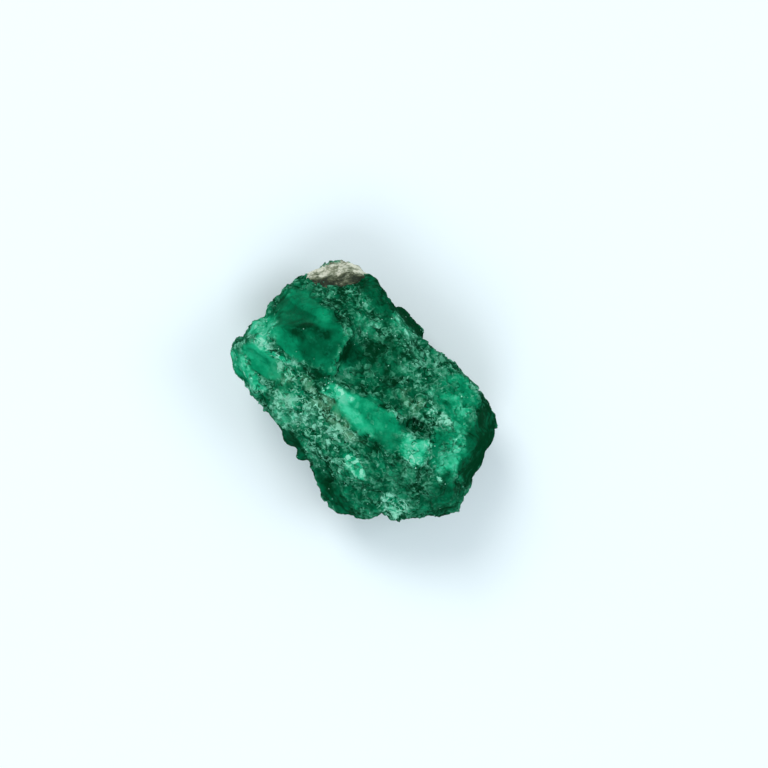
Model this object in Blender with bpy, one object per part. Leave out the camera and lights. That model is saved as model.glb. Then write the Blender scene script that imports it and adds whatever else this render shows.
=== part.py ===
"""A raw emerald crystal, lying on its flattest side.

The crystal is a stubby six-sided beryl prism with its long axis along X. It was broken at both
ends and chipped all over, and it keeps a remnant of its host rock on one corner of the blunt end.
The forms are worked out in millimetres and scaled to metres at the end. The origin is the middle
of the bounding box, at the resting face.
"""

import math

import bmesh
import bpy
from mathutils import Matrix, Vector, noise

# Driving dimensions, in millimetres.
LENGTH = 17.0  # along the prism, tip to blunt end, of the finished stone
WIDTH = 11.2  # across the prism's two upright sides
HEIGHT = 9.0  # from the resting face to the prism's highest crest
SHOULDER_Z = 6.1  # where the upright sides end and the roof facets start
KEEL_Z = 2.3  # where the upright sides end and the lower facets start
ROOF_SLOPE = math.radians(26)
KEEL_SLOPE = math.radians(31)
ROCK_RIM = (-6.30, 3.05, 5.69)  # the upper rim of the host rock, on the facet that it covers
ROCK_FACET_NORMAL = (-0.653, 0.471, 0.591)
ROCK_RADII = (1.80, 1.32, 0.52)  # along the facet, down the facet, and out of it
ROCK_GAP = 0.1  # between the host rock and the crystal

METRES_PER_MM = 0.001
BLANK = 12.0  # half the side of the cubes that blocks and cutters are cut from
WAIST = 1.5  # how far below its edge the blank starts to draw in towards the resting face
WAIST_INSET = 0.35
BROW = 1.2  # how far above its edge the blank starts to draw in towards the crest
BROW_INSET = 0.25
END_INSET = 2.3  # at the bottom and at the top of the blank
END_SPARE = 0.8  # how far the blank reaches past the resting face and past the crest
NOISE_SEED = 4
ROUGHNESS_INSET = 0.04  # the broken surface lies this far inside the flat forms on average
VOXEL = 0.17  # cell of the remesh that fuses the blocks
TRIANGLES = 8800  # of the finished crystal
ROCK_TRIANGLES = 600

# The crystal seen from above, anticlockwise from the tip: x, y and the height of the edge there.
OUTLINE = [
    (8.55, 0.15, 4.3), (8.20, 0.75, 4.2), (7.80, 1.45, 3.9), (7.50, 2.20, 3.7), (7.32, 2.95, 3.6),
    (7.12, 3.42, 3.5), (6.85, 3.52, 3.5), (6.80, 4.18, 3.4), (6.45, 4.72, 3.4), (5.95, 5.12, 3.6),
    (5.50, 5.50, 3.8), (4.60, 5.65, 4.2), (3.90, 5.75, 4.6), (2.40, 5.68, 5.0), (1.10, 5.50, 5.2),
    (0.40, 5.25, 5.0), (0.00, 5.05, 4.8), (-0.60, 5.10, 4.6), (-1.60, 5.05, 4.6), (-2.60, 5.05, 4.6),
    (-3.20, 5.12, 4.6), (-4.60, 5.15, 4.8), (-5.90, 5.10, 4.9), (-6.70, 4.80, 4.9), (-7.30, 4.20, 4.8),
    (-7.90, 3.60, 4.6), (-8.15, 2.90, 4.4), (-8.25, 2.10, 4.2), (-8.50, 1.10, 3.9), (-8.40, 0.00, 3.8),
    (-8.30, -0.60, 3.9), (-8.00, -1.20, 4.2), (-7.95, -1.60, 4.4), (-8.15, -1.95, 4.5), (-7.90, -2.90, 4.6),
    (-7.80, -3.70, 4.6), (-7.60, -4.10, 4.5), (-6.60, -4.85, 4.4), (-6.20, -4.65, 4.6), (-5.00, -4.80, 4.8),
    (-3.60, -4.75, 4.9), (-2.00, -4.85, 4.8), (-1.00, -4.75, 4.8), (0.20, -4.80, 4.8), (1.10, -5.12, 4.5),
    (1.90, -5.42, 4.2), (2.60, -5.65, 3.8), (3.70, -5.65, 3.6), (4.25, -5.38, 3.6), (4.78, -4.88, 3.8),
    (5.45, -4.40, 3.9), (5.78, -3.90, 4.0), (5.75, -3.38, 4.2), (5.95, -3.30, 4.3), (6.25, -3.48, 4.4),
    (6.75, -3.05, 4.4), (7.00, -2.40, 4.5), (7.50, -1.65, 4.5), (8.00, -1.05, 4.4), (8.25, -0.40, 4.3),
]
CORE_HALF_LENGTH = 3.5  # the rings of the blank shrink towards this much of the prism's axis


def unit(x, y, z):
    return Vector((x, y, z)).normalized()


def cut(bm, point, outward):
    """Cuts off what lies beyond the plane and closes the cut with a flat face."""
    everything = bm.verts[:] + bm.edges[:] + bm.faces[:]
    bmesh.ops.bisect_plane(bm, geom=everything, plane_co=point, plane_no=outward, clear_outer=True)
    rim = [edge for edge in bm.edges if edge.is_boundary]
    bmesh.ops.holes_fill(bm, edges=rim, sides=0)


def new_object(name, bm):
    bmesh.ops.recalc_face_normals(bm, faces=bm.faces)
    bmesh.ops.triangulate(bm, faces=bm.faces)
    mesh = bpy.data.meshes.new(name)
    bm.to_mesh(mesh)
    bm.free()
    made = bpy.data.objects.new(name, mesh)
    bpy.context.scene.collection.objects.link(made)
    return made


def block(name, planes):
    """A convex block: a large cube cut by (point, outward normal) planes."""
    bm = bmesh.new()
    bmesh.ops.create_cube(bm, size=2 * BLANK)
    for point, outward in planes:
        cut(bm, Vector(point), unit(*outward))
    return new_object(name, bm)


def bounded(thing, proud):
    """Trims a block to the blank, so that it never reaches further than proud past the crystal's outline."""
    limit = new_object("limit", prism_blank(proud))
    combine(thing, [limit], "INTERSECT")
    return thing


def pebble(name, centre, radii, turn=0.0):
    """A rounded lump: a sphere stretched to three radii and turned about Z."""
    bm = bmesh.new()
    turned = Matrix.Rotation(math.radians(turn), 4, "Z")
    place = Matrix.Translation(centre) @ turned @ Matrix.Diagonal((*radii, 1))
    bmesh.ops.create_icosphere(bm, subdivisions=3, radius=1, matrix=place)
    return new_object(name, bm)


def ring(bm, inset, rise=None, height=None):
    """One ring of the blank: the outline drawn in by inset, at one height or a rise above its edge."""
    corners = []
    for x, y, edge_z in OUTLINE:
        middle = Vector((max(-CORE_HALF_LENGTH, min(CORE_HALF_LENGTH, x)), 0.0))
        outward = Vector((x, y)) - middle
        drawn = middle + outward * (1 - inset / outward.length)
        corners.append(bm.verts.new((*drawn, edge_z + rise if height is None else height)))
    return corners


def prism_blank(proud=0.0):
    """The body before its facets: five rings that are widest at the outline's own heights."""
    bm = bmesh.new()
    rings = [
        ring(bm, END_INSET - proud, height=-END_SPARE - proud),
        ring(bm, WAIST_INSET - proud, rise=-WAIST),
        ring(bm, -proud, rise=0.0),
        ring(bm, BROW_INSET - proud, rise=BROW),
        ring(bm, END_INSET - proud, height=HEIGHT + END_SPARE + proud),
    ]
    count = len(OUTLINE)
    for low, high in zip(rings, rings[1:]):
        for i in range(count):
            j = (i + 1) % count
            bm.faces.new((low[i], low[j], high[j], high[i]))
    bm.faces.new(rings[0])
    bm.faces.new(rings[-1])
    return bm


def prism():
    """The blank cut to the prism's roof and lower facets and to the fracture faces at both ends."""
    bm = prism_blank()
    roof_up, roof_out = math.cos(ROOF_SLOPE), math.sin(ROOF_SLOPE)
    keel_down, keel_out = -math.cos(KEEL_SLOPE), math.sin(KEEL_SLOPE)
    half = WIDTH / 2
    facets = [
        ((0, half - 0.5, SHOULDER_Z), (0.03, roof_out, roof_up)),
        ((0, 0.7 - half, SHOULDER_Z), (-0.03, -roof_out, roof_up)),
        ((0, half - 0.4, KEEL_Z), (0.04, keel_out, keel_down)),
        ((0, 0.6 - half, KEEL_Z), (-0.02, -keel_out, keel_down)),
        # crest
        ((0, 0, HEIGHT - 0.85), (0.02, 0.05, 1)),
        # blunt end: slope, upper corner under the host rock, lower corner, underside
        ((-8.0, 0, 5.9), (-0.60, 0.0, 0.80)),
        (ROCK_RIM, ROCK_FACET_NORMAL),
        ((-7.2, -3.2, 6.2), (-0.45, -0.30, 0.84)),
        ((-7.7, 0, 2.0), (-0.80, 0.05, -0.60)),
        ((-6.6, -3.6, 2.2), (-0.45, -0.50, -0.74)),
        # tip: dark side facet, top, two lower facets, underside
        ((5.62, 3.16, 6.75), (0.719, 0.512, 0.468)),
        ((6.0, 2.8, 6.9), (0.368, 0.195, 0.909)),
        ((6.0, -2.2, 6.4), (0.40, -0.48, 0.78)),
        ((3.4, -4.0, 5.9), (0.15, -0.75, 0.64)),
        ((7.0, 0.4, 2.0), (0.72, 0.15, -0.68)),
        ((5.6, -3.2, 2.2), (0.50, -0.55, -0.67)),
        ((4.8, 4.2, 2.0), (0.30, 0.62, -0.72)),
    ]
    for point, outward in facets:
        cut(bm, Vector(point), unit(*outward))
    return new_object("emerald_crystal", bm)


def broad_hollows():
    """Wedge-shaped cutters, open upwards or outwards, where large flakes broke away."""
    # the cliff beside the window block runs along this plane
    cliff = ((-2.85, 0.55, 7.0), (-0.865, -0.475, -0.16))
    valley = block("valley", [
        cliff,
        ((-2.6, 1.4, 6.75), (0.09, 0.05, -0.99)),
        ((-2.9, 0.55, 6.8), (0.32, -0.90, -0.30)),
        ((0.25, 3.0, 7.1), (0.80, -0.10, -0.59)),
        ((-1.5, 4.7, 6.2), (0.10, 0.55, -0.83)),
    ])
    trough = block("trough", [
        cliff,
        ((-2.6, 0.2, 7.25), (0.13, -0.30, -0.945)),
        ((1.2, 1.62, 7.5), (0.12, 0.86, -0.50)),
        ((0.3, 0.2, 7.4), (0.425, -0.895, -0.12)),
    ])
    terrace = block("terrace", [
        ((-4.5, 2.05, 7.2), (0.08, -0.35, -0.93)),
        ((-5.0, 1.95, 7.3), (0.06, -0.85, -0.52)),
        ((-2.4, 3.0, 7.0), (0.85, 0.10, -0.50)),
    ])
    lower_ledge = block("lower_ledge", [
        ((0.5, -4.85, 4.55), (0.04, 0.20, -0.98)),
        ((0.5, -4.30, 5.6), (0.02, 0.90, -0.43)),
        ((-2.05, -4.8, 4.8), (-0.88, 0.30, -0.36)),
        ((4.4, -4.8, 4.6), (0.88, 0.35, -0.30)),
    ])
    tip_ledge = block("tip_ledge", [
        ((6.2, -1.9, 6.15), (-0.42, 0.42, -0.80)),
        ((5.9, -1.2, 6.6), (-0.30, 0.86, -0.41)),
        ((5.2, -2.4, 6.2), (-0.90, 0.25, -0.35)),
    ])
    return [valley, trough, terrace, lower_ledge, tip_ledge]


def raised_blocks():
    """Blocks of the crystal that stand proud of the prism where the rest flaked away."""
    window = block("window_block", [
        ((-2.85, 0.55, 8.0), (0.865, 0.475, 0.16)),
        ((-3.4, 0.4, 8.55), (-0.18, 0.05, 0.98)),
        ((-4.6, -0.85, 8.2), (-0.14, -0.30, 0.94)),
        ((-2.7, -0.6, 8.1), (0.35, -0.35, 0.87)),
        ((-5.0, 1.1, 8.2), (-0.16, 0.40, 0.90)),
        ((-5.8, 1.85, 7.8), (-0.10, 0.85, 0.52)),
        ((-4.6, -1.35, 8.0), (-0.05, -0.60, 0.80)),
        ((-7.6, 0.6, 7.1), (-0.62, 0.18, 0.76)),
        ((-8.25, 0.2, 5.2), (-0.92, 0.0, 0.39)),
        ((-6.05, 2.71, 5.72), ROCK_FACET_NORMAL),
        ((-5.0, 0.0, 4.0), (0, 0, -1)),
    ])
    wedge = block("bright_wedge", [
        ((0.3, 0.3, 8.50), (-0.431 * 0.90, 0.902 * 0.90, 0.43)),
        ((0.3, 0.3, 8.50), (-0.13, -0.33, 0.935)),
        ((-2.1, -1.1, 7.6), (-0.86, -0.10, 0.50)),
        ((1.0, -1.45, 7.9), (0.06, -0.80, 0.60)),
        ((3.4, 0.0, 8.3), (0.55, -0.10, 0.83)),
        ((0.0, 0.0, 5.0), (0, 0, -1)),
    ])
    shoulder = block("frosted_shoulder", [
        ((4.0, 0.6, 8.55), (0.16, -0.10, 0.98)),
        ((3.05, 0.6, 8.4), (-0.90, 0.25, 0.45)),
        ((4.0, 1.65, 8.2), (-0.25, 0.84, 0.45)),
        ((4.0, -0.5, 8.2), (-0.05, -0.75, 0.60)),
        ((4.9, 0.6, 8.1), (0.75, 0.15, 0.65)),
        ((4.0, 0.0, 5.0), (0, 0, -1)),
    ])
    corner = block("corner_block", [
        ((-6.3, -2.5, 7.05), (-0.30, 0.12, 0.945)),
        ((-6.0, -1.6, 7.0), (-0.15, 0.80, 0.58)),
        ((-5.9, -2.75, 7.1), (0.10, -0.62, 0.78)),
        ((-4.4, -2.6, 7.0), (0.72, -0.30, 0.62)),
        ((-7.75, -2.6, 5.6), (-0.90, -0.10, 0.42)),
        ((-6.0, -4.5, 5.7), (-0.05, -0.90, 0.42)),
        ((-6.0, -3.0, 3.5), (0, 0, -1)),
    ])
    upper_layer = block("upper_layer", [
        ((-1.6, 5.40, 4.0), (0.02, 0.97, 0.22)),
        ((-1.8, 5.0, 4.85), (-0.05, 0.30, 0.95)),
        ((-3.3, 5.0, 4.0), (-0.75, 0.60, 0.25)),
        ((-0.9, 5.1, 4.0), (0.80, 0.55, 0.20)),
        ((-1.6, 4.0, 3.0), (0.05, 0.30, -0.95)),
        ((-1.6, 3.2, 4.0), (0, -1, 0)),
    ])
    lobes = [
        pebble("lobe_a", (-1.30, -4.60, 4.1), (0.85, 0.72, 0.85), 12),
        pebble("lobe_b", (-0.12, -4.85, 3.9), (0.38, 0.46, 0.60)),
        pebble("lobe_c", (1.5, -4.75, 3.6), (0.95, 0.40, 0.70), -8),
        pebble("lobe_d", (2.9, -4.70, 4.4), (0.9, 0.6, 0.8), 10),
    ]
    trimmed = [bounded(window, 0.02), bounded(wedge, 0.04), bounded(shoulder, 0.06), bounded(corner, 0.08)]
    return [*trimmed, upper_layer, *lobes]


def small_hollows():
    """Cutters for the chips that broke out of the blocks and out of the underside."""
    crevice = block("crevice", [
        ((2.50, 1.22, 7.1), (0.42, -0.84, -0.34)),
        ((2.50, 1.45, 7.1), (-0.30, 0.78, -0.55)),
        ((2.42, 1.25, 7.6), (-0.90, -0.30, -0.30)),
        ((3.45, 1.9, 7.9), (0.80, 0.45, -0.40)),
    ])
    scoop = pebble("corner_scoop", (-6.15, -3.45, 7.35), (1.75, 0.62, 1.15), 10)
    notch = block("end_notch", [
        ((-7.70, -1.45, 5.0), (0.90, 0.35, -0.25)),
        ((-7.70, -1.45, 5.0), (0.35, -0.85, -0.40)),
    ])
    under = block("underside_step", [
        ((2.2, 1.2, 0.95), (-0.75, 0.20, 0.63)),
        ((2.2, 1.2, 0.95), (0.25, -0.72, 0.65)),
        ((2.2, 1.2, 1.55), (-0.05, 0.12, 0.99)),
    ])
    under_left = block("underside_chip", [
        ((-5.4, -1.6, 0.9), (0.70, 0.30, 0.65)),
        ((-5.4, -1.6, 1.3), (0.10, -0.25, 0.96)),
        ((-5.4, -1.6, 0.9), (0.10, 0.75, 0.66)),
    ])
    return [crevice, scoop, notch, under, under_left]


def host_rock():
    """The remnant of host rock: a rounded cap on the corner facet that the crystal shares with it."""
    bm = bmesh.new()
    outward = unit(*ROCK_FACET_NORMAL)
    along = outward.cross(Vector((0, 0, 1))).normalized()
    down = outward.cross(along)
    if down.z > 0:
        down = -down
    centre = Vector(ROCK_RIM) + down * ROCK_RADII[1]
    axes = Matrix((along, down, outward)).transposed().to_4x4()
    place = Matrix.Translation(centre) @ axes @ Matrix.Diagonal((*ROCK_RADII, 1))
    bmesh.ops.create_icosphere(bm, subdivisions=4, radius=1, matrix=place)
    cut(bm, centre, -outward)
    return new_object("host_rock", bm)


def keep_mesh(thing):
    """Applies the object's modifiers to its own mesh."""
    bpy.context.view_layer.update()
    finished = bpy.data.meshes.new_from_object(thing.evaluated_get(bpy.context.evaluated_depsgraph_get()))
    thing.modifiers.clear()
    thing.data = finished


def combine(thing, others, operation):
    for other in others:
        boolean = thing.modifiers.new(other.name, "BOOLEAN")
        boolean.object = other
        boolean.operation = operation
    keep_mesh(thing)
    for other in others:
        bpy.data.objects.remove(other)


def remesh(thing, size):
    cells = thing.modifiers.new("Remesh", "REMESH")
    cells.mode = "VOXEL"
    cells.voxel_size = size
    keep_mesh(thing)


def chip_height(point, size, tilt, step):
    """Rough fracture: each cell of size holds one flat chip with its own tilt and its own step up or down."""
    nearest = noise.voronoi(point / size)[1][0]
    lean = noise.noise_vector(nearest * 7.31)
    lift = noise.noise(nearest * 5.17 + Vector((3.1, 1.7, 9.2)))
    return size * tilt * lean.dot(point / size - nearest) + step * lift


# Faces that broke smooth: centre and radii of the region, and how much of the roughness it keeps.
SMOOTH_REGIONS = [
    ((-5.6, 0.1, 8.0), (2.7, 1.9, 1.6), 0.12),
    ((0.4, -0.3, 8.3), (2.6, 1.2, 1.0), 0.20),
    ((0.0, 0.9, 7.2), (2.6, 0.9, 0.8), 0.35),
    ((6.4, 3.6, 5.0), (1.6, 2.4, 2.0), 0.25),
    ((-6.2, -3.4, 6.8), (1.8, 0.8, 1.2), 0.20),
    ((-6.9, -2.0, 6.6), (1.4, 0.9, 1.2), 0.40),
    ((-7.0, 3.6, 4.4), (1.9, 1.9, 1.9), 0.30),
]


def roughness_share(point):
    share = 1.0
    for centre, radii, kept in SMOOTH_REGIONS:
        offset = point - Vector(centre)
        reach = math.sqrt(sum((offset[i] / radii[i]) ** 2 for i in range(3)))
        inside = max(0.0, min(1.0, (1.25 - reach) / 0.5))
        share = min(share, 1 - inside * (1 - kept))
    return share


def roughen(thing, amount=1.0):
    """Moves each vertex along its normal by the broken surface's chips and steps."""
    mesh = thing.data
    normals = [vertex.normal.copy() for vertex in mesh.vertices]
    for vertex, normal in zip(mesh.vertices, normals):
        point = vertex.co.copy()
        coarse = chip_height(point, 1.6, 0.22, 0.12)
        fine = chip_height(point + Vector((7, 3, 5)), 0.65, 0.30, 0.06)
        vertex.co += normal * (coarse + fine - ROUGHNESS_INSET) * amount * roughness_share(point)
    mesh.update()


def reduce_to(thing, triangles):
    bm = bmesh.new()
    bm.from_mesh(thing.data)
    bmesh.ops.triangulate(bm, faces=bm.faces)
    bm.to_mesh(thing.data)
    bm.free()
    collapse = thing.modifiers.new("Decimate", "DECIMATE")
    collapse.ratio = triangles / len(thing.data.polygons)
    keep_mesh(thing)


def flatten_base(bm):
    """Cuts the underside flat at the resting plane."""
    cut(bm, Vector((0, 0, 0)), Vector((0, 0, -1)))
    bmesh.ops.triangulate(bm, faces=bm.faces)


def drop_loose_flakes(bm):
    """Keeps the largest body and removes the slivers that the cuts left beside it."""
    bodies = []
    seen = set()
    for start in bm.verts:
        if start in seen:
            continue
        seen.add(start)
        body = [start]
        for vertex in body:
            for edge in vertex.link_edges:
                other = edge.other_vert(vertex)
                if other not in seen:
                    seen.add(other)
                    body.append(other)
        bodies.append(body)
    bodies.sort(key=len)
    for flake in bodies[:-1]:
        bmesh.ops.delete(bm, geom=flake, context="VERTS")


def trim(thing):
    bm = bmesh.new()
    bm.from_mesh(thing.data)
    flatten_base(bm)
    drop_loose_flakes(bm)
    bm.to_mesh(thing.data)
    bm.free()


def material(name, colour, roughness, transmission=0.0):
    made = bpy.data.materials.new(name)
    made.use_nodes = True
    shader = made.node_tree.nodes["Principled BSDF"]
    shader.inputs["Base Color"].default_value = (*colour, 1)
    shader.inputs["Roughness"].default_value = roughness
    shader.inputs["Metallic"].default_value = 0.0
    shader.inputs["Transmission Weight"].default_value = transmission
    shader.inputs["IOR"].default_value = 1.58
    return made


def finish(thing, finish_material, place):
    """Moves the object's mesh to the part's frame, in metres, and gives the object its material."""
    thing.data.transform(place)
    thing.data.materials.clear()
    thing.data.materials.append(finish_material)
    thing.data.shade_flat()


def pocket_of(rock):
    """A copy of the host rock, grown by the gap, to cut its pocket in the crystal with."""
    pocket = bpy.data.objects.new("pocket", rock.data.copy())
    bpy.context.scene.collection.objects.link(pocket)
    wider = pocket.modifiers.new("Displace", "DISPLACE")
    wider.mid_level = 0.0
    wider.strength = ROCK_GAP
    keep_mesh(pocket)
    return pocket


def part_frame(things):
    """Centres the things over the origin and scales them to metres, with LENGTH for the whole."""
    xs = [vertex.co.x for thing in things for vertex in thing.data.vertices]
    ys = [vertex.co.y for thing in things for vertex in thing.data.vertices]
    middle = Vector(((min(xs) + max(xs)) / 2, (min(ys) + max(ys)) / 2, 0))
    scale = LENGTH / (max(xs) - min(xs)) * METRES_PER_MM
    return Matrix.Scale(scale, 4) @ Matrix.Translation(-middle)


def main():
    for old in list(bpy.data.objects):
        bpy.data.objects.remove(old)
    noise.seed_set(NOISE_SEED)

    crystal = prism()
    combine(crystal, broad_hollows(), "DIFFERENCE")
    combine(crystal, raised_blocks(), "UNION")
    combine(crystal, small_hollows(), "DIFFERENCE")
    remesh(crystal, VOXEL)
    roughen(crystal)

    rock = host_rock()
    remesh(rock, VOXEL)
    roughen(rock, 0.9)
    reduce_to(crystal, TRIANGLES)
    reduce_to(rock, ROCK_TRIANGLES)

    combine(crystal, [pocket_of(rock)], "DIFFERENCE")
    trim(crystal)

    place = part_frame([crystal, rock])
    finish(crystal, material("emerald", (0.015, 0.30, 0.15), 0.35, 0.6), place)
    finish(rock, material("host_rock", (0.42, 0.37, 0.28), 0.8), place)


main()
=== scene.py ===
"""The looks of a raw emerald crystal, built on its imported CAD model.

Each CAD solid is copied, remeshed finely and given the broken surface of the real stone: chips, cracks and
lumps. A list of named zones sets the relief and the masks that drive the materials. Sizes and places are in
millimetres in the row frame, seen from above: x along the prism, y across it.
"""

import math
from collections import namedtuple
from types import SimpleNamespace

import bmesh
import bpy
import numpy as np
from mathutils import Matrix, Vector, noise


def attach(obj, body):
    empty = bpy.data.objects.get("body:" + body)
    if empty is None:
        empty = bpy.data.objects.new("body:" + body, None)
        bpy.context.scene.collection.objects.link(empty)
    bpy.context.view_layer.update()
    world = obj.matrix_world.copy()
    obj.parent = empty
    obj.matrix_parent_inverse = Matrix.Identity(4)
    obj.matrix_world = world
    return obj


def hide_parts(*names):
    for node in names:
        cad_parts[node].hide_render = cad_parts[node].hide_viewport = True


MM = 0.001

# ---------------------------------------------------------------- camera, light and floor

VIEW_TURN = math.radians(50)  # the stone's long axis, turned clockwise from the picture's right
CAMERA_LENS = 100  # its focal length
CAMERA_HEIGHT = 132.4  # above the floor
PICTURE_CENTRE = (1.045, 1.125)  # right of the stone's middle and above it, in the picture's plane

Light = namedtuple("Light", "name place size power colour")
LIGHTS = [
    Light("key", (-560, 120, 690), 380, 3.3, (1.0, 0.99, 0.97)),
    Light("fill", (360, -430, 690), 450, 2.35, (0.92, 0.97, 1.0)),
    Light("back", (330, 480, 690), 400, 1.9, (0.92, 0.97, 1.0)),
]
SKY_COLOUR = (0.88, 0.95, 1.0)
SKY_STRENGTH = 0.58

FLOOR_REACH = 1500  # from its middle to its sides
FLOOR_CLOUD_SIZE = 60
FLOOR_COLOURS = ((0.3, (0.78, 0.86, 0.89)), (0.7, (0.80, 0.88, 0.91)))
FLOOR_ROUGHNESS = 0.9

# ---------------------------------------------------------------- zones

# An ellipse with the values that hold inside it. soft is the share of its radius over which it fades out.
Zone = namedtuple("Zone", "name centre radii turn values soft", defaults=(0.35,))

# What a zone can set, with the value that holds where no zone does.
DEFAULTS = {
    "relief": 0.9,  # share of the broken surface's relief
    "clear": 0.10,  # how glassy it is
    "tone": 0.38,  # from deep green to bright teal; zones and steep faces also paint shade and glow into it
    "dust": 0.28,  # grey-green powder on the crumbled faces
    "pale": 0.05,  # whitish chips and bruises; the painted_glint zone paints a glint with it
    "brown": 0.0,  # stain of the host rock
    "specks": 0.30,  # share of the little cells that hold a white dot, a painted glint
    "prism": 0.0,  # smooth striated prism face
}

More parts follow.
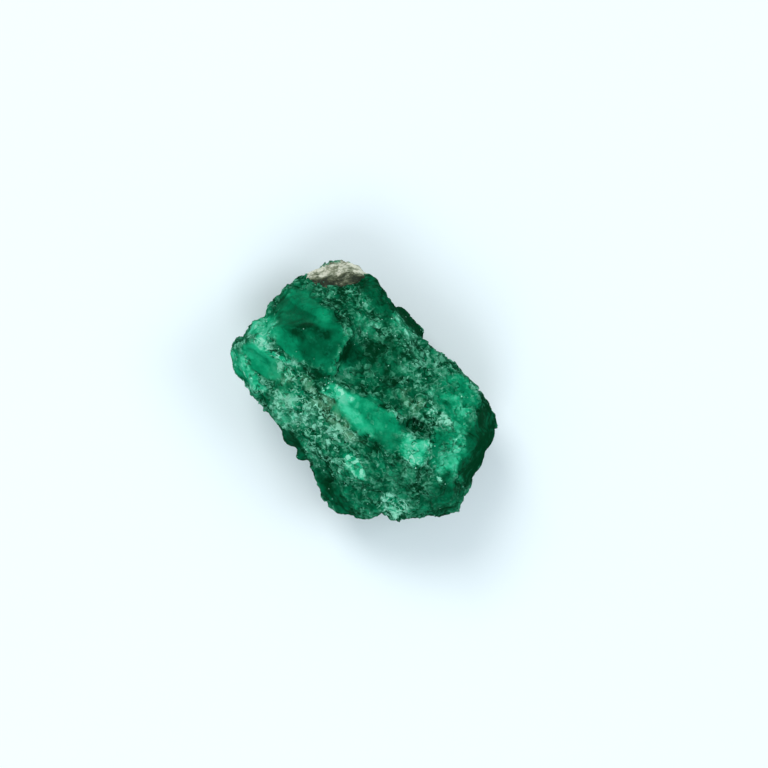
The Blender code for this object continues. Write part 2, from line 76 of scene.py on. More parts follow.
ZONES = [
    # upper side, from the host rock to the tip
    Zone("upper_left", (-4.2, 3.2), (2.2, 1.7), 0, dict(dust=0.26, tone=0.36)),
    Zone("upper_dark", (-4.3, 4.6), (1.5, 0.75), -4,
         dict(dust=0.02, pale=0.0, tone=0.25, clear=0.12, relief=0.5, specks=0.1)),
    Zone("mint_facet", (-2.2, 4.65), (0.9, 0.42), -8, dict(dust=0.40, pale=0.12, tone=0.6, relief=0.4), 0.15),
    # painted shadow: the lower layer behind the upper edge is painted dark, as in shade
    Zone("upper_layer", (-2.1, 5.2), (1.5, 0.30), 0, dict(relief=0.4, tone=0.05, dust=0.0, pale=0.0)),
    Zone("valley", (-1.2, 2.5), (1.7, 1.3), 0, dict(dust=0.10, tone=0.03, pale=0.0, relief=0.6)),
    Zone("dusty_upper", (1.5, 3.4), (1.8, 1.8), 0, dict(dust=0.36, tone=0.32, pale=0.05)),
    Zone("grey_stain", (1.7, 2.1), (0.8, 0.9), 30, dict(dust=0.5, brown=0.4, pale=0.05)),
    Zone("green_upper", (3.3, 4.2), (1.6, 1.1), -30, dict(dust=0.16, tone=0.60, pale=0.02, relief=0.7)),
    Zone("green_shoulder", (5.2, 2.1), (2.3, 1.1), -50, dict(dust=0.16, tone=0.76, clear=0.12)),
    Zone("white_flakes", (3.3, 2.75), (1.0, 0.32), 10, dict(pale=0.36, dust=0.45, tone=0.6)),
    Zone("tip", (7.3, -0.2), (1.1, 1.5), 0, dict(dust=0.02, tone=0.28, clear=0.15, relief=0.6)),
    # lower side, from the tip to the blunt end
    Zone("lower_right", (4.9, -2.0), (2.4, 1.6), 0, dict(dust=0.20, tone=0.33)),
    Zone("pale_patch", (5.7, -2.7), (0.8, 0.55), 20, dict(dust=0.60, pale=0.42, tone=0.7)),
    Zone("low_green", (3.0, -4.2), (2.0, 0.8), 0, dict(dust=0.15, pale=0.05, tone=0.40)),
    Zone("lower_middle", (-0.9, -3.2), (3.3, 1.3), 0, dict(dust=0.50, tone=0.38, pale=0.12, specks=0.5)),
    Zone("pale_flake", (2.3, -2.9), (0.95, 0.42), 5, dict(pale=0.65, dust=0.6, tone=0.85, relief=0.4), 0.15),
    Zone("lower_left", (-3.5, -2.75), (1.5, 0.95), 0,
         dict(dust=0.85, tone=0.60, pale=0.05, brown=0.2, relief=0.6)),
    Zone("brown_belt", (-0.9, -1.95), (2.3, 0.50), 4, dict(brown=0.5, dust=0.6, pale=0.12)),
    # painted shade: the low lobes and lower edge are painted darker, as in shade
    Zone("shaded_lobes", (-0.9, -5.0), (1.3, 0.55), 0, dict(relief=0.3, tone=0.30, dust=0.0, pale=0.0, specks=0.1)),
    Zone("shaded_lower_edge", (2.9, -5.1), (1.9, 0.50), 0,
         dict(relief=0.5, tone=0.15, dust=0.0, pale=0.0, specks=0.1)),
    # the glassy block and its cliff
    Zone("window", (-5.5, 0.2), (2.7, 1.7), -4,
         dict(relief=0.10, clear=0.15, tone=0.36, dust=0.0, pale=0.0, specks=0.10), 0.12),
    # painted reflection: a lighter band inside the glassy block
    Zone("window_reflection_band", (-6.7, 1.05), (1.7, 0.42), 18, dict(tone=0.56), 0.12),
    # painted shade: the darker middle of the glassy block
    Zone("window_shaded_core", (-5.3, 0.05), (1.3, 0.60), 48, dict(tone=-0.05), 0.25),
    Zone("window_foot", (-5.6, -1.2), (1.6, 0.5), 0, dict(tone=0.60, relief=0.25)),
    Zone("cliff", (-2.8, 0.3), (0.45, 1.7), 28,
         dict(relief=0.4, tone=0.60, dust=0.22, clear=0.12, pale=0.08, specks=0.6)),
    # painted shade: the notch at the foot of the cliff is painted dark, as in the cliff's shadow
    Zone("shaded_notch", (-2.8, 1.2), (0.55, 0.8), 28, dict(tone=0.24, dust=0.0, pale=0.0, clear=0.1, specks=0.05)),
    # the middle
    Zone("trough", (-0.6, 0.5), (2.0, 0.75), 22, dict(relief=0.45, dust=0.32, tone=0.26, pale=0.0)),
    # painted light: the wedge is painted bright teal as light glowing through it and falling on it, brightest
    # at its tip and darker to its end
    Zone("bright_wedge", (0.7, -0.36), (2.6, 0.97), 17,
         dict(relief=0.25, clear=0.10, tone=0.66, dust=0.10, pale=0.06, specks=0.2), 0.15),
    Zone("wedge_tip", (-1.4, -0.95), (0.95, 0.45), 20, dict(tone=1.0, pale=0.42, dust=0.3, specks=0.25), 0.2),
    Zone("wedge_end", (2.5, -0.35), (0.9, 0.5), 25, dict(tone=0.44, dust=0.0, relief=0.3)),
    # painted glow
    Zone("wedge_glow", (0.2, -1.05), (0.9, 0.32), 10, dict(tone=0.88, pale=0.10)),
    Zone("frosted_shoulder", (4.0, 0.6), (1.1, 0.8), 20, dict(relief=0.5, tone=0.85, dust=0.30, pale=0.15)),
    # painted shade: the side face turned away from the light is painted dark
    Zone("shaded_side_facet", (6.25, 3.45), (2.5, 0.88), -57,
         dict(relief=0.25, tone=0.13, dust=0.0, pale=0.0, clear=0.08, specks=0.0, prism=0.35), 0.2),
    Zone("frost_plate", (4.3, 0.25), (0.55, 0.40), 30, dict(tone=1.0, pale=0.45, dust=0.3), 0.15),
    # painted glint: a white spot of reflected light
    Zone("painted_glint", (6.1, 0.42), (0.17, 0.11), 0, dict(tone=1.0, pale=1.4, dust=0.5), 0.15),
    Zone("window_glints", (-4.2, -0.4), (1.1, 0.9), -40, dict(specks=0.4, tone=0.28)),
    # the corner
    # painted glow: the thin corner painted bright teal, as light passing through it
    Zone("glowing_corner", (-7.3, -1.8), (0.9, 0.9), 0,
         dict(relief=0.35, clear=0.12, tone=0.92, dust=0.15, pale=0.28)),
    Zone("corner_scoop", (-5.9, -3.15), (1.5, 0.58), 8,
         dict(relief=0.2, clear=0.15, tone=0.72, dust=0.0, pale=0.02, specks=0.1), 0.2),
    Zone("corner_strip", (-6.1, -4.3), (1.7, 0.50), 0, dict(relief=0.2, tone=0.88, dust=0.45, pale=0.10)),
    Zone("corner_frost", (-6.6, -2.5), (0.55, 0.3), 0, dict(pale=0.45, dust=0.4, tone=0.9)),
    Zone("corner_ridge", (-5.4, -2.2), (1.5, 0.14), 22, dict(pale=0.38, dust=0.25, tone=0.85)),
]
ZONE_LOW_Z = (0.6, 2.2)  # the zones fade out between these heights

# Noise of that size, up to that height or amount. On the host rock's skirt it is higher by as much as skirt.
Waves = namedtuple("Waves", "size height seed skirt", defaults=(0.0,))

# Noise moves a zone's edge, by a share of the zone's smaller radius.
WARP_X = Waves(0.9, 0.60, 1.0)
WARP_Y = Waves(0.9, 0.60, 2.0)
WARP_RADIUS = 1.2  # a zone with larger radii is warped as if this was its smaller one

# How these values change slowly over the whole stone.
DRIFTS = {"dust": Waves(2.4, 0.20, 6.0), "tone": Waves(3.1, 0.14, 7.0)}

# The side faces below the shoulder: patches of smooth prism face, striated along the stone.
PRISM_FACE = dict(prism=1.0, relief=0.25, clear=0.15, tone=0.30, dust=0.05, pale=0.02)
PRISM_HIGH_Z = (4.4, 2.6)  # from above the side faces to well on them
PRISM_NORMAL = (0.80, 0.50)  # the upright share of a normal, from too level a face to a side face
PRISM_PATCHES = Waves(3.0, 1.0, 5.0)
PRISM_SHARE = (-0.12, 0.10)  # of that noise, from a crumbled patch to a smooth one

# ---------------------------------------------------------------- relief of the crystal

CRYSTAL_CELL = 0.09  # of the remesh
CRYSTAL_ROUNDS = 2  # of smoothing, which take off the remesh's steps
CALM_RELIEF = (0.6, 0.1)  # of a zone, where its ground starts to be smoothed further and where it fully is
CALM_ROUNDS = 4

# Flat chips of that size, their tilt, the steps between them, and how much each chip's lift paints the
# material: partly a random tone per chip, partly painted light and shade, higher chips paler.
Chips = namedtuple("Chips", "size tilt step shade", defaults=(0.0,))
CRYSTAL_CHIPS = [
    Chips(1.20, 0.32, 0.07, 1.0),
    Chips(0.50, 0.55, 0.06, 1.0),
    Chips(0.24, 0.30, 0.02, 0.7),
]
CRACK_SIZE = 1.3  # of the cells between the cracks
CRACK_WIDTH = 0.12
CRACK_DEPTH = 0.06

STEEP_NORMAL = (0.30, 0.75)  # the upright share of a normal, from a steep face to a level one
STEEP_PAINTED_SHADE = -0.25  # steep faces are painted deeper in colour, as painted shade
SHARP_ROUNDS = 2  # of smoothing, for the surface that an edge stands out from
SHARP_EDGE = (0.004, 0.022)  # how far it stands out, from no edge to a sharp one

SWELL = 0.19  # how far the crystal stands proud round the host rock
SWELL_MIDDLE = (-6.30, 3.05, 5.69)  # of the host rock
SWELL_REACH = (3.4, 1.6)  # from the middle, where the swelling starts and where it is full

# ---------------------------------------------------------------- relief of the host rock

ROCK_CELL = 0.06
ROCK_ROUNDS = 6
ROCK_NORMAL = (-0.653, 0.471, 0.591)  # of the facet that it lies on
ROCK_ALONG = (0.585, 0.811, 0.0)  # along that facet, level
ROCK_SPREAD = 1.12  # how much wider than its solid the crust is, with its border under the crystal
ROCK_FLATTEN = 0.60  # share of its solid's height over its middle that is left
ROCK_LIFT = 0.11  # how far the flattened crust is raised again
ROCK_SINK = 0.26  # how deep its border dives into the crystal

ROCK_CREST = (-0.65, 0.05)  # down the facet, from the dark upper edge to the pale crest
ROCK_SKIRT = (0.40, 1.25)  # further down, where crystal grows over the crust

RIM = (0.70, 1.0)  # share of the way to the border, from where the rim starts to where it is full
RIM_BAYS = Waves(0.8, 0.30, 4.0, skirt=0.25)
RIM_TEETH = Waves(0.35, 0.16, 8.0)
RIM_SHIFT = 0.06  # how much further out the rim lies above the skirt
RIM_CALM = 0.5  # share of the lumps that it takes off

ROCK_LUMPS = Waves(0.9, 0.18, 3.0)
ROCK_PITS = Waves(0.5, 0.08, 6.0, skirt=0.10)
ROCK_CHUNKS = Chips(0.8, 0.25, 0.05)
ROCK_GRAINS = Chips(0.35, 0.50, 0.05)
ROCK_SHARP_ROUNDS = 3
ROCK_SHARP_EDGE = (0.002, 0.02)

# ---------------------------------------------------------------- noise on points

NOISE_SEED = 11  # of noise_vector, which leans the chips
SEED_STEPS = (3.7, 1.3, 2.9)  # from one seed's part of the noise to the next one's
LEAN_STRIDE = 7.31  # how far apart neighbouring chips read the noise, for their lean
LIFT_STRIDE = 5.17  # and for their lift
LIFT_START = Vector((3.1, 1.7, 9.2))


def smooth_step(value, start, end):
    """0 at start, 1 at end and smooth between; start may be the higher one."""
    t = np.clip((value - start) / (end - start), 0, 1)
    return t * t * (3 - 2 * t)


def waves(points, kind, skirt=0.0):
    """Smooth noise of that kind; skirt is how far each point is on the host rock's skirt."""
    shift = Vector([kind.seed * step for step in SEED_STEPS])
    levels = np.array([noise.noise(Vector(point) / kind.size + shift) for point in points])
    return (kind.height + kind.skirt * skirt) * levels


def chip_relief(points, kind):
    """Broken surface: each cell is one flat chip, with its own tilt and its own lift.

    Gives the relief, and the lift from -1 to 1.
    """
    relief = np.empty(len(points))
    lifts = np.empty(len(points))
    for i, point in enumerate(points):
        scaled = Vector(point) / kind.size
        nearest = noise.voronoi(scaled)[1][0]
        lean = noise.noise_vector(nearest * LEAN_STRIDE)
        lifts[i] = noise.noise(nearest * LIFT_STRIDE + LIFT_START)
        relief[i] = kind.size * kind.tilt * lean.dot(scaled - nearest) + kind.step * lifts[i]
    return relief, lifts


def cracks(points):
    """1 along the cracks, 0 away from them."""
    gaps = np.empty(len(points))
    for i, point in enumerate(points):
        near, next_near = noise.voronoi(Vector(point) / CRACK_SIZE)[0][:2]
        gaps[i] = next_near - near
    return 1 - smooth_step(gaps, 0, CRACK_WIDTH / CRACK_SIZE)


def blend(values, weight, targets):
    """Moves the named values towards their targets, by that weight at each point."""
    for name, target in targets.items():
        values[name] += weight * (target - values[name])


def zone_weight(zone, points, warp_x, warp_y):
    """1 inside the zone, 0 outside, soft and uneven at its edge."""
    turn = math.radians(zone.turn)
    warp = min(*zone.radii, WARP_RADIUS)
    x = points[:, 0] + warp * warp_x - zone.centre[0]
    y = points[:, 1] + warp * warp_y - zone.centre[1]
    along = (x * math.cos(turn) + y * math.sin(turn)) / zone.radii[0]
    across = (y * math.cos(turn) - x * math.sin(turn)) / zone.radii[1]
    reach = np.sqrt(along**2 + across**2)
    return 1 - smooth_step(reach, 1 - zone.soft, 1 + zone.soft)


def zone_values(points, normals):
    """Each value of DEFAULTS at each point."""
    values = {name: np.full(len(points), start) for name, start in DEFAULTS.items()}
    for name, drift in DRIFTS.items():
        values[name] += waves(points, drift)

    side = smooth_step(np.abs(normals[:, 2]), *PRISM_NORMAL) * smooth_step(points[:, 2], *PRISM_HIGH_Z)
    blend(values, side * smooth_step(waves(points, PRISM_PATCHES), *PRISM_SHARE), PRISM_FACE)

    upper = smooth_step(points[:, 2], *ZONE_LOW_Z)
    warps = waves(points, WARP_X), waves(points, WARP_Y)
    for zone in ZONES:
        blend(values, upper * zone_weight(zone, points, *warps), zone.values)
    return values


# ---------------------------------------------------------------- mesh helpers


def copy_in_mm(node, name):
    """A copy of the CAD solid, a thousand times as large until finish_piece."""
    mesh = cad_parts[node].data.copy()
    mesh.transform(Matrix.Scale(1 / MM, 4))
    mesh.materials.clear()
    piece = bpy.data.objects.new(name, mesh)
    bpy.context.scene.collection.objects.link(piece)
    return piece


def remesh(piece, cell):
    cells = piece.modifiers.new("Remesh", "REMESH")
    cells.mode = "VOXEL"
    cells.voxel_size = cell
    bpy.context.view_layer.update()
    evaluated = piece.evaluated_get(bpy.context.evaluated_depsgraph_get())
    finished = bpy.data.meshes.new_from_object(evaluated)
    piece.modifiers.clear()
    piece.data = finished


def vertex_vectors(piece, kind):
    """The co or the normal of each vertex, one row each."""
    vectors = np.empty(len(piece.data.vertices) * 3)
    piece.data.vertices.foreach_get(kind, vectors)
    return vectors.reshape(-1, 3)


def set_points(piece, points):
    piece.data.vertices.foreach_set("co", points.ravel())
    piece.data.update()


def edges_of(piece):
    edges = np.empty(len(piece.data.edges) * 2, np.int64)
    piece.data.edges.foreach_get("vertices", edges)
    return edges.reshape(-1, 2)


def smoothed(points, edges, rounds):
    """Moves each point halfway to the middle of its neighbours, that many times over."""
    count = len(points)
    degree = np.bincount(edges.ravel(), minlength=count)[:, None]
    points = points.copy()
    for _ in range(rounds):
        total = np.zeros_like(points)
        for column in range(points.shape[1]):
            total[:, column] = np.bincount(edges[:, 0], points[edges[:, 1], column], count)
            total[:, column] += np.bincount(edges[:, 1], points[edges[:, 0], column], count)
        points = 0.5 * points + 0.5 * total / degree
    return points


def standing_out(piece, points, edges, rounds):
    """How far each point stands out from the surface round it."""
    apart = points - smoothed(points, edges, rounds)
    return np.einsum("ij,ij->i", apart, vertex_vectors(piece, "normal"))


def store(piece, name, values):
    """Keeps one number at each vertex for the material."""
    attribute = piece.data.attributes.new(name, "FLOAT", "POINT")
    attribute.data.foreach_set("value", values.astype(np.float32))


# ---------------------------------------------------------------- pieces


def crystal_piece():
    """The crystal: chipped and cracked, and swelled round the host rock."""
    piece = copy_in_mm("emerald_crystal", "emerald_stone")
    remesh(piece, CRYSTAL_CELL)
    edges = edges_of(piece)
    points = smoothed(vertex_vectors(piece, "co"), edges, CRYSTAL_ROUNDS)
    set_points(piece, points)
    normals = vertex_vectors(piece, "normal")
    masks = zone_values(points, normals)

    chips = [chip_relief(points, kind) for kind in CRYSTAL_CHIPS]
    relief = sum(heights for heights, lifts in chips) - CRACK_DEPTH * cracks(points)
    shades = sum(kind.shade * lifts for kind, (heights, lifts) in zip(CRYSTAL_CHIPS, chips))
    # each chip's lift, painted as light and shade on the material: raised chips paler, sunk ones darker
    masks["chip"] = shades * masks["relief"]

    calm = smooth_step(masks["relief"], *CALM_RELIEF)[:, None]
    points = points + calm * (smoothed(points, edges, CALM_ROUNDS) - points)
    from_rock = np.linalg.norm(points - np.array(SWELL_MIDDLE), axis=1)
    height = relief * masks["relief"] + SWELL * smooth_step(from_rock, *SWELL_REACH)
    points = points + normals * height[:, None]
    points[:, 2] = np.maximum(points[:, 2], 0)
    set_points(piece, points)

    # steep faces are crazed rather than clear, and darker as painted shade
    level = smooth_step(vertex_vectors(piece, "normal")[:, 2], *STEEP_NORMAL)
    masks["clear"] *= level
    masks["tone"] += STEEP_PAINTED_SHADE * (1 - level)
    masks["edge"] = smooth_step(standing_out(piece, points, edges, SHARP_ROUNDS), *SHARP_EDGE)
    for name, values in masks.items():
        store(piece, name, values)
    return piece


def rock_piece():
    """The host rock: a lumpy crust that sinks into the crystal at its border."""
    piece = copy_in_mm("host_rock", "host_rock_crust")
    remesh(piece, ROCK_CELL)
    edges = edges_of(piece)
    points = smoothed(vertex_vectors(piece, "co"), edges, ROCK_ROUNDS)
    outward = np.array(Vector(ROCK_NORMAL).normalized())
    along = np.array(Vector(ROCK_ALONG).normalized())
    down = np.cross(outward, along)
    middle = (points.min(axis=0) + points.max(axis=0)) / 2
    # along the facet, down it and out of it
    x, y, z = ((points - middle) @ np.array((along, down, outward)).T).T

    skirt = smooth_step(y, *ROCK_SKIRT)
    reach = np.hypot(x / np.abs(x).max(), y / np.abs(y).max())
    reach += waves(points, RIM_BAYS, skirt) + waves(points, RIM_TEETH) - RIM_SHIFT * (1 - skirt)
    rim = smooth_step(reach, *RIM)

    lumps = waves(points, ROCK_LUMPS) - np.abs(waves(points, ROCK_PITS, skirt))
    lumps += chip_relief(points, ROCK_CHUNKS)[0] + (1 + skirt) * chip_relief(points, ROCK_GRAINS)[0]
    height = ROCK_LIFT - ROCK_SINK * rim - (1 - ROCK_FLATTEN) * np.maximum(z, 0)
    flat = points - middle - np.outer(z, outward)
    points = points + (ROCK_SPREAD - 1) * flat
    points = points + np.outer(lumps * (1 - RIM_CALM * rim) + height, outward)
    set_points(piece, points)

    edge = standing_out(piece, points, edges, ROCK_SHARP_ROUNDS)
    store(piece, "edge", smooth_step(edge, *ROCK_SHARP_EDGE))
    store(piece, "rim", rim)
    store(piece, "crest", smooth_step(y, *ROCK_CREST))
    store(piece, "skirt", skirt)
    return piece


def finish_piece(piece, material, node):
    piece.data.transform(Matrix.Scale(MM, 4))
    piece.data.materials.clear()
    piece.data.materials.append(material)
    piece.data.shade_smooth()
    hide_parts(node)
    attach(piece, "root")


# ---------------------------------------------------------------- node helpers

# Turns a value between low and high into one between start and end, smoothly.
Ramp = namedtuple("Ramp", "low high start end", defaults=(0.0, 1.0))
RAMP_INPUTS = ("From Min", "From Max", "To Min", "To Max")
MIX_COLOUR_INPUTS = (6, 7)
MIX_COLOUR_OUTPUT = 2
DOT_CORE = 0.7  # share of a dot's radius over which it is full


def swing(amount, low=0.3, high=0.7):
    """A ramp from -amount to amount, over the middle of a noise."""
    return Ramp(low, high, -amount, amount)


class Nodes:
    """Short calls for the nodes of one material."""

    def __init__(self, name):
        self.material = bpy.data.materials.new(name)
        self.material.use_nodes = True
        self.tree = self.material.node_tree
        self.shader = self.tree.nodes["Principled BSDF"]
        self.output = self.tree.nodes["Material Output"]
        self.place = self.tree.nodes.new("ShaderNodeTexCoord").outputs["Object"]

    def put(self, socket, value):
        if isinstance(value, bpy.types.NodeSocket):
            self.tree.links.new(value, socket)
        else:
            socket.default_value = value

    def attribute(self, name):
        node = self.tree.nodes.new("ShaderNodeAttribute")
        node.attribute_name = name
        return node.outputs["Fac"]

    def texture(self, kind, size, place=None):
        """A texture node with features of that size."""
        node = self.tree.nodes.new(kind)
        self.put(node.inputs["Vector"], place or self.place)
        node.inputs["Scale"].default_value = 1 / (size * MM)
        return node

    def noise(self, size, detail=3.0, roughness=0.6, place=None):
        """Noise from 0 to 1."""
        node = self.texture("ShaderNodeTexNoise", size, place)
        node.inputs["Detail"].default_value = detail
        node.inputs["Roughness"].default_value = roughness
        return node.outputs["Fac"]

    def cells(self, size, place=None):
        return self.texture("ShaderNodeTexVoronoi", size, place)

    def channel(self, colour, index):
        node = self.tree.nodes.new("ShaderNodeSeparateColor")
        self.put(node.inputs[0], colour)
        return node.outputs[index]

    def vector(self, operation, a, b):
        node = self.tree.nodes.new("ShaderNodeVectorMath")
        node.operation = operation
        self.put(node.inputs[0], a)
        self.put(node.inputs[1], b)
        return node.outputs["Value" if operation == "DOT_PRODUCT" else "Vector"]

    def centred(self, colour):
        """A random colour as a vector with parts from -0.5 to 0.5."""
        return self.vector("SUBTRACT", colour, (0.5, 0.5, 0.5))

    def math(self, operation, a, b=0.0):
        node = self.tree.nodes.new("ShaderNodeMath")
        node.operation = operation
        self.put(node.inputs[0], a)
        self.put(node.inputs[1], b)
        return node.outputs[0]

    def total(self, first, *others):
        for other in others:
            first = self.math("ADD", first, other)
        return first

    def product(self, first, *others):
        for other in others:
            first = self.math("MULTIPLY", first, other)
        return first

    def ramp(self, value, ramp):
        node = self.tree.nodes.new("ShaderNodeMapRange")
        node.interpolation_type = "SMOOTHSTEP"
        for name, number in zip(RAMP_INPUTS, ramp):
            node.inputs[name].default_value = number
        self.put(node.inputs["Value"], value)
        return node.outputs[0]

    def mix(self, share, a, b):
        """Colour b over colour a, by that share."""
        node = self.tree.nodes.new("ShaderNodeMix")
        node.data_type = "RGBA"
        self.put(node.inputs["Factor"], share)
        for index, value in zip(MIX_COLOUR_INPUTS, (a, b)):
            self.put(node.inputs[index], (*value, 1) if isinstance(value, tuple) else value)
        return node.outputs[MIX_COLOUR_OUTPUT]

    def colours(self, value, stops):
        """A colour ramp of (position, colour) stops."""
        node = self.tree.nodes.new("ShaderNodeValToRGB")
        elements = node.color_ramp.elements
        while len(elements) < len(stops):
            elements.new(0.5)
        for element, (position, colour) in zip(elements, stops):
            element.position = position
            element.color = (*colour, 1)
        self.put(node.inputs[0], value)
        return node.outputs[0]

    def bump(self, height, depth=1.0):
        """Bump of that height, times depth."""
        node = self.tree.nodes.new("ShaderNodeBump")
        node.inputs["Strength"].default_value = 1.0
        node.inputs["Distance"].default_value = depth * MM
        self.put(node.inputs["Height"], height)
        return node.outputs[0]

    def warped(self, size, reach):
        """The place, pushed about by up to reach by noise of that size."""
        push = self.centred(self.texture("ShaderNodeTexNoise", size).outputs["Color"])
        return self.vector("ADD", self.place, self.vector("MULTIPLY", push, (2 * reach * MM,) * 3))

    def cell_shade(self, size, place=None):
        """One random number from 0 to 1 for each cell of that size."""
        return self.channel(self.cells(size, place).outputs["Color"], 0)

    def contours(self, size, width, detail):
        """1 on curled thin lines, the contours of noise of that size."""
        away = self.math("ABSOLUTE", self.math("SUBTRACT", self.noise(size, detail, 0.5), 0.5))
        return self.ramp(away, Ramp(width / 2, width, 1.0, 0.0))

    def dots(self, size, radius, share):
        """1 in round dots, one in that share of the cells of that size; the radius is in cells."""
        cells = self.cells(size)
        chosen = self.math("LESS_THAN", self.channel(cells.outputs["Color"], 1), share)
        inside = self.ramp(cells.outputs["Distance"], Ramp(DOT_CORE * radius, radius, 1.0, 0.0))
        return self.product(chosen, inside)

    def facets(self, size, tilt):
        """Height of flat facets, one for each cell of that size, each leaning its own way."""
        cells = self.cells(size)
        lean = self.centred(cells.outputs["Color"])
        offset = self.vector("SUBTRACT", self.place, cells.outputs["Position"])
        return self.product(self.vector("DOT_PRODUCT", lean, offset), 2 * tilt / MM)


# ---------------------------------------------------------------- emerald

DEEP = (0.0005, 0.038, 0.012)
GREEN = (0.001, 0.135, 0.056)
BRIGHT = (0.003, 0.280, 0.125)
VIVID = (0.012, 0.420, 0.205)
TEAL = (0.050, 0.600, 0.330)
BODY_COLOURS = ((0.0, DEEP), (0.35, GREEN), (0.65, BRIGHT), (0.85, VIVID), (1.0, TEAL))  # by tone
DUST = (0.050, 0.270, 0.155)
MIST = (0.080, 0.500, 0.300)  # the powder where the green under it is bright
PALE = (0.260, 0.690, 0.490)
# the white of the dots that are painted glints
GLINT_WHITE = (0.420, 0.900, 0.700)
BROWN = (0.135, 0.260, 0.145)

BERYL_IOR = 1.58
SPECULAR_TINT = (0.04, 0.75, 0.45)
ABSORPTION_COLOUR = (0.02, 0.92, 0.84)
ABSORPTION_PER_METRE = 400.0

# the noises
CLOUD_SIZE = 1.7  # of the cloudiness inside the body
MOTTLE_SIZE = 0.85  # of the patches of powder
GRAIN_SIZE = 0.13
FLAKE_SIZE = 0.26
FLAKE_WARP = (0.80, 0.35)  # size and reach of the noise that bends the flakes
SHARD_SIZE = 0.32
GROWTH_SIZE = 0.22  # across the growth lines
GROWTH_STRETCH = (0.10, 1, 1)  # growth lines run along the prism
BROKEN_SIZE = 0.65  # of the stretches in which thin lines and specks show
GAPS = dict(size=0.70, width=0.030, detail=1.5)
CURLS = dict(size=0.46, width=0.045, detail=1.0)
GLINT_DOTS = dict(size=0.24, radius=0.19)

# the masks
LEAST_POWDER = 0.05  # on every face
LEAST_EDGE_POWDER = 0.10  # on every edge
RUGGED = Ramp(0.1, 0.7, 0.35, 1.0)  # by the zone's relief
BROKEN = Ramp(0.44, 0.60)
SHARD = Ramp(0.88, 0.90)  # about one cell in ten holds a pale shard

# what each thing adds to the tone
CLOUD_TONE = swing(0.13, 0.25, 0.75)
MOTTLE_TONE = swing(0.15)
GROWTH_TONE = swing(0.25)
CHIP_SHADING_TONE = 0.16
FLAKE_TONE = Ramp(0.0, 0.6, -0.35, 0.05)
GAP_TONE = Ramp(0.0, 0.4, -0.1, -0.5)  # by how crumbly it is

# what each thing adds to the frost
MOTTLE_FROST = Ramp(0.34, 0.68, -0.05, 0.52)
PALE_FROST = Ramp(0.30, 0.70, 0.10, 0.40)
GRAIN_FROST = swing(0.20)
CHIP_SHADING_FROST = 0.35
CURL_FROST = 0.90
SHARD_FROST = 0.45
FLAKE_FROST = Ramp(0.82, 0.96, 0.0, 0.80)
EDGE_FROST_AND_HIGHLIGHT = Ramp(0.0, 1.0, -0.10, 0.45)

# what the frost does
POWDER_COVER = Ramp(0.0, 0.5)
MIST_TONE = Ramp(0.45, 0.80)
PALE_COVER = Ramp(0.30, 1.0)
PALE_SHARE = Ramp(0.0, 0.2, 0.6, 1.0)  # of that cover, by how pale the zone is
FROST_CLEAR = Ramp(0.0, 0.4, 1.0, 0.0)
FROST_ROUGHNESS = Ramp(0.1, 0.6, 0.16, 0.45)
BROWN_PATCHES = Ramp(0.40, 0.62)
GLINT_GRAINS = Ramp(0.30, 0.65, 0.1, 1.0)

COARSE_FACETS = dict(size=0.34, tilt=0.22)
FINE_FACETS = dict(size=0.13, tilt=0.22)
GROWTH_RELIEF = 0.05


def emerald_masks(n):
    """The mesh's masks, and the noises that more than one part of the material uses."""
    names = ("clear", "tone", "dust", "pale", "brown", "specks", "prism", "chip", "relief", "edge")
    m = SimpleNamespace(**{name: n.attribute(name) for name in names})
    m.rugged = n.ramp(m.relief, RUGGED)
    m.powdery = n.total(m.dust, m.pale, LEAST_POWDER)
    m.crumbly = n.product(m.powdery, m.rugged)
    m.mottle = n.noise(MOTTLE_SIZE, detail=5)
    m.grain = n.noise(GRAIN_SIZE, detail=2, roughness=0.7)
    m.flake = n.cell_shade(FLAKE_SIZE, n.warped(*FLAKE_WARP))
    m.growth = n.noise(GROWTH_SIZE, detail=2, place=n.vector("MULTIPLY", n.place, GROWTH_STRETCH))
    m.broken = n.ramp(n.noise(BROKEN_SIZE, detail=2), BROKEN)
    return m


def emerald_tone_and_light(n, m):
    """The body's green, cloudy inside, darker in the gaps between flakes, with the shade and glow that zones,
    steep faces and chips paint into it.
    """
    return n.total(
        m.tone,
        n.ramp(n.noise(CLOUD_SIZE), CLOUD_TONE),
        n.product(m.rugged, n.ramp(m.mottle, MOTTLE_TONE)),
        n.product(m.chip, CHIP_SHADING_TONE),
        n.product(m.prism, n.ramp(m.growth, GROWTH_TONE)),
        n.product(m.crumbly, n.ramp(m.flake, FLAKE_TONE)),
        n.product(n.contours(**GAPS), m.broken, n.ramp(m.crumbly, GAP_TONE)),
    )


def emerald_frost(n, m):
    """A film of powder in patches, curled pale lines where flakes end and single pale flakes; raised chips
    and edges that stand out are paler, partly as painted light.
    """
    return n.total(
        n.product(m.powdery, n.ramp(m.mottle, MOTTLE_FROST)),
        n.product(m.crumbly, n.ramp(m.grain, GRAIN_FROST)),
        # raised chips paler: painted light
        n.product(m.crumbly, m.chip, CHIP_SHADING_FROST),
        n.product(m.crumbly, n.contours(**CURLS), m.broken, CURL_FROST),
        n.product(m.powdery, n.ramp(n.cell_shade(SHARD_SIZE), SHARD), SHARD_FROST),
        n.product(m.powdery, n.ramp(m.flake, FLAKE_FROST)),
        n.product(m.pale, n.ramp(m.mottle, PALE_FROST)),
        # pale on edges that stand out: partly frosted broken edges, partly a painted highlight
        n.product(n.ramp(m.edge, EDGE_FROST_AND_HIGHLIGHT), n.total(m.dust, m.pale, LEAST_EDGE_POWDER)),
    )


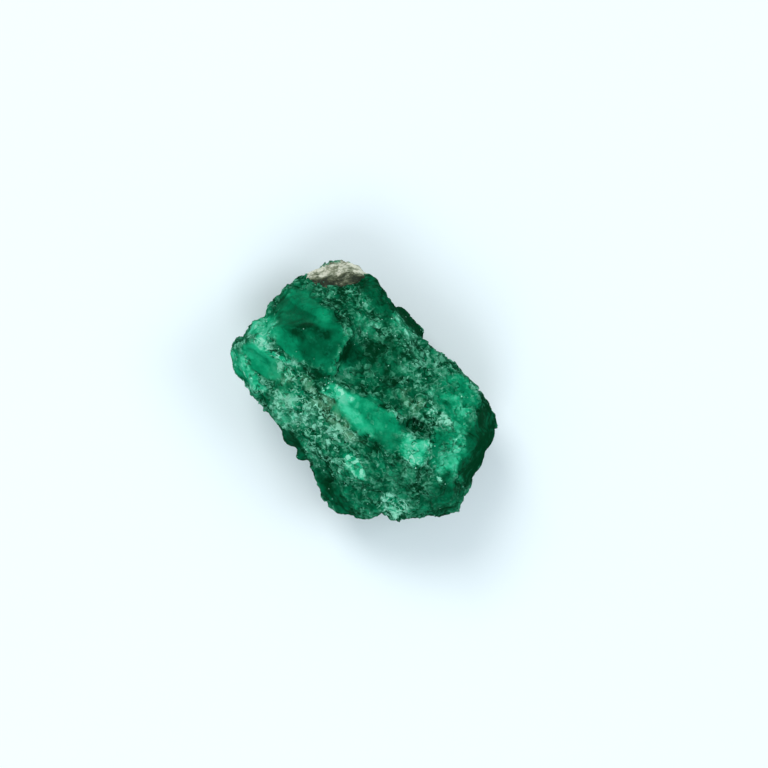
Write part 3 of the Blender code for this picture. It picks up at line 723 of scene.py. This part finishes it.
def emerald_colour(n, m, tone, frost):
    """The green body, with the shade and glow painted into its tone, under powder, pale chips, brown stain
    and white dots that are painted glints.
    """
    body = n.colours(tone, BODY_COLOURS)
    powder = n.mix(n.ramp(tone, MIST_TONE), DUST, MIST)
    colour = n.mix(n.ramp(frost, POWDER_COVER), body, powder)
    colour = n.mix(n.product(n.ramp(frost, PALE_COVER), n.ramp(m.pale, PALE_SHARE)), colour, PALE)
    colour = n.mix(n.product(m.brown, n.ramp(m.mottle, BROWN_PATCHES)), colour, BROWN)
    # white dots: painted glints
    dots = n.dots(share=n.product(m.specks, m.broken), **GLINT_DOTS)
    return n.mix(n.product(dots, n.ramp(m.grain, GLINT_GRAINS)), colour, GLINT_WHITE)


def emerald_relief(n, m):
    """Small facets on the broken faces, and growth lines on the prism faces."""
    facets = n.product(n.total(n.facets(**COARSE_FACETS), n.facets(**FINE_FACETS)), m.rugged)
    return n.total(facets, n.product(m.growth, m.prism, GROWTH_RELIEF))


def emerald_material():
    n = Nodes("emerald")
    m = emerald_masks(n)
    frost = emerald_frost(n, m)
    shader = n.shader
    n.put(shader.inputs["Base Color"], emerald_colour(n, m, emerald_tone_and_light(n, m), frost))
    n.put(shader.inputs["Roughness"], n.ramp(frost, FROST_ROUGHNESS))
    n.put(shader.inputs["Transmission Weight"], n.product(m.clear, n.ramp(frost, FROST_CLEAR)))
    n.put(shader.inputs["Normal"], n.bump(emerald_relief(n, m)))
    shader.inputs["IOR"].default_value = BERYL_IOR
    shader.inputs["Specular IOR Level"].default_value = 0.0
    shader.inputs["Specular Tint"].default_value = (*SPECULAR_TINT, 1)

    volume = n.tree.nodes.new("ShaderNodeVolumeAbsorption")
    volume.inputs["Color"].default_value = (*ABSORPTION_COLOUR, 1)
    volume.inputs["Density"].default_value = ABSORPTION_PER_METRE
    n.tree.links.new(volume.outputs[0], n.output.inputs["Volume"])
    return n.material


# ---------------------------------------------------------------- host rock

ROCK_DARK = (0.016, 0.026, 0.013)
ROCK_OLIVE = (0.070, 0.085, 0.045)
ROCK_GREY = (0.240, 0.270, 0.180)
ROCK_CREAM = (0.680, 0.690, 0.560)
ROCK_COLOURS = ((0.0, ROCK_DARK), (0.3, ROCK_OLIVE), (0.6, ROCK_GREY), (0.95, ROCK_CREAM))  # by lightness

STREAK_SIZE = 0.26
STREAK_STRETCH = 3.2  # how much longer than wide they are
ROCK_CLOUD_SIZE = 0.7  # of its blotches
ROCK_GRAIN_SIZE = 0.10

# what each thing adds to the lightness
CREST_LIGHTNESS = Ramp(0.0, 1.0, 0.08, 0.72)
SKIRT_LIGHTNESS = Ramp(0.0, 1.0, 0.0, -0.30)
STREAK_LIGHTNESS = swing(0.30)
CLOUD_LIGHTNESS = swing(0.18)
GRAIN_LIGHTNESS = swing(0.10)
EDGE_LIGHTNESS = 0.18

# where emerald covers the rim
RIM_CLOUD = swing(0.35)
RIM_GREEN = Ramp(0.60, 1.0)
RIM_CREST = Ramp(0.0, 1.0, 0.9, 0.5)
RIM_STREAKS = Ramp(0.35, 0.60, 1.0, 0.3)

# where it covers the skirt
SKIRT_CLOUD = Ramp(0.3, 0.7, -0.55, 0.45)
SKIRT_GRAIN = swing(0.25)
SKIRT_GREEN = Ramp(0.25, 0.55, 0.0, 0.95)
SKIRT_START = Ramp(0.03, 0.20)

GREEN_GRAINS = Ramp(0.4, 0.6)  # the covering emerald is green and dusty in grains
ROCK_ROUGHNESS = Ramp(0.3, 0.7, 0.9, 0.6)
ROCK_SPECULAR = 0.3
ROCK_BUMP = 0.06


def rock_streaks(n):
    """Streaks along the facet that the rock lies on."""
    turned = n.tree.nodes.new("ShaderNodeMapping")
    turned.vector_type = "TEXTURE"
    turned.inputs["Rotation"].default_value = (0, 0, math.atan2(ROCK_ALONG[1], ROCK_ALONG[0]))
    turned.inputs["Scale"].default_value = (STREAK_STRETCH, 1, 1)
    n.put(turned.inputs["Vector"], n.place)
    return n.noise(STREAK_SIZE, detail=4, roughness=0.65, place=turned.outputs[0])


def rock_material():
    """Crusty host rock: a cream crest, a dark upper edge with streaks, and emerald over its rim and skirt."""
    n = Nodes("host_rock")
    edge, rim, crest, skirt = (n.attribute(name) for name in ("edge", "rim", "crest", "skirt"))
    streaks = rock_streaks(n)
    cloud = n.noise(ROCK_CLOUD_SIZE)
    grain = n.noise(ROCK_GRAIN_SIZE, roughness=0.7)
    lightness = n.total(
        n.ramp(crest, CREST_LIGHTNESS),
        n.ramp(skirt, SKIRT_LIGHTNESS),
        n.ramp(streaks, STREAK_LIGHTNESS),
        n.ramp(cloud, CLOUD_LIGHTNESS),
        n.ramp(grain, GRAIN_LIGHTNESS),
        n.product(edge, EDGE_LIGHTNESS),
    )
    on_rim = n.product(
        n.ramp(n.total(rim, n.ramp(cloud, RIM_CLOUD)), RIM_GREEN),
        n.ramp(crest, RIM_CREST),
        n.ramp(streaks, RIM_STREAKS),
    )
    grown = n.total(skirt, n.ramp(cloud, SKIRT_CLOUD), n.ramp(grain, SKIRT_GRAIN))
    on_skirt = n.product(n.ramp(grown, SKIRT_GREEN), n.ramp(skirt, SKIRT_START))
    green = n.mix(n.ramp(grain, GREEN_GRAINS), GREEN, DUST)
    colour = n.mix(n.math("MAXIMUM", on_rim, on_skirt), n.colours(lightness, ROCK_COLOURS), green)
    n.put(n.shader.inputs["Base Color"], colour)
    n.put(n.shader.inputs["Roughness"], n.ramp(cloud, ROCK_ROUGHNESS))
    n.put(n.shader.inputs["Normal"], n.bump(n.total(grain, streaks), ROCK_BUMP))
    n.shader.inputs["Specular IOR Level"].default_value = ROCK_SPECULAR
    return n.material


# ---------------------------------------------------------------- stage


def floor_material():
    n = Nodes("floor")
    n.put(n.shader.inputs["Base Color"], n.colours(n.noise(FLOOR_CLOUD_SIZE, detail=2), FLOOR_COLOURS))
    n.shader.inputs["Roughness"].default_value = FLOOR_ROUGHNESS
    return n.material


def make_floor():
    bm = bmesh.new()
    bmesh.ops.create_grid(bm, x_segments=1, y_segments=1, size=FLOOR_REACH * MM)
    mesh = bpy.data.meshes.new("floor")
    bm.to_mesh(mesh)
    bm.free()
    floor = bpy.data.objects.new("floor", mesh)
    mesh.materials.append(floor_material())
    bpy.context.scene.collection.objects.link(floor)


def make_camera():
    """The camera looks straight down, turned so that the stone lies aslant in the picture."""
    data = bpy.data.cameras.new("camera")
    data.lens = CAMERA_LENS
    data.clip_start = MM
    camera = bpy.data.objects.new("camera", data)
    bpy.context.scene.collection.objects.link(camera)
    right = Vector((math.cos(VIEW_TURN), math.sin(VIEW_TURN), 0))
    up = Vector((-math.sin(VIEW_TURN), math.cos(VIEW_TURN), 0))
    back = Vector((0, 0, 1))
    aim = right * PICTURE_CENTRE[0] * MM + up * PICTURE_CENTRE[1] * MM
    axes = Matrix((right, up, back)).transposed().to_4x4()
    camera.matrix_world = Matrix.Translation(aim + back * (CAMERA_HEIGHT * MM)) @ axes
    bpy.context.scene.camera = camera


def area_light(name, place, size, power, colour):
    """A square light that points at the stone."""
    data = bpy.data.lights.new(name, "AREA")
    data.size = size * MM
    data.energy = power
    data.color = colour
    light = bpy.data.objects.new(name, data)
    bpy.context.scene.collection.objects.link(light)
    light.location = Vector(place) * MM
    light.rotation_euler = (-Vector(place)).to_track_quat("-Z", "Y").to_euler()


def make_light():
    for light in LIGHTS:
        area_light(*light)
    world = bpy.data.worlds.new("world")
    world.use_nodes = True
    background = world.node_tree.nodes["Background"]
    background.inputs["Color"].default_value = (*SKY_COLOUR, 1)
    background.inputs["Strength"].default_value = SKY_STRENGTH
    bpy.context.scene.world = world
    bpy.context.scene.view_settings.view_transform = "Standard"


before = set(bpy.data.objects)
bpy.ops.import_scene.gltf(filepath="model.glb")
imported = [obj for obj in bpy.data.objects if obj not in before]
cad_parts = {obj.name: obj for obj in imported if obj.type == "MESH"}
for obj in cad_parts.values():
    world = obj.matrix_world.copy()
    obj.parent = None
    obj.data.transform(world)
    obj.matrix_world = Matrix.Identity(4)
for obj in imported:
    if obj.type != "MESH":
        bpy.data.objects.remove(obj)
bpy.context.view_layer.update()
noise.seed_set(NOISE_SEED)

make_camera()
make_light()
make_floor()
finish_piece(crystal_piece(), emerald_material(), "emerald_crystal")
finish_piece(rock_piece(), rock_material(), "host_rock")
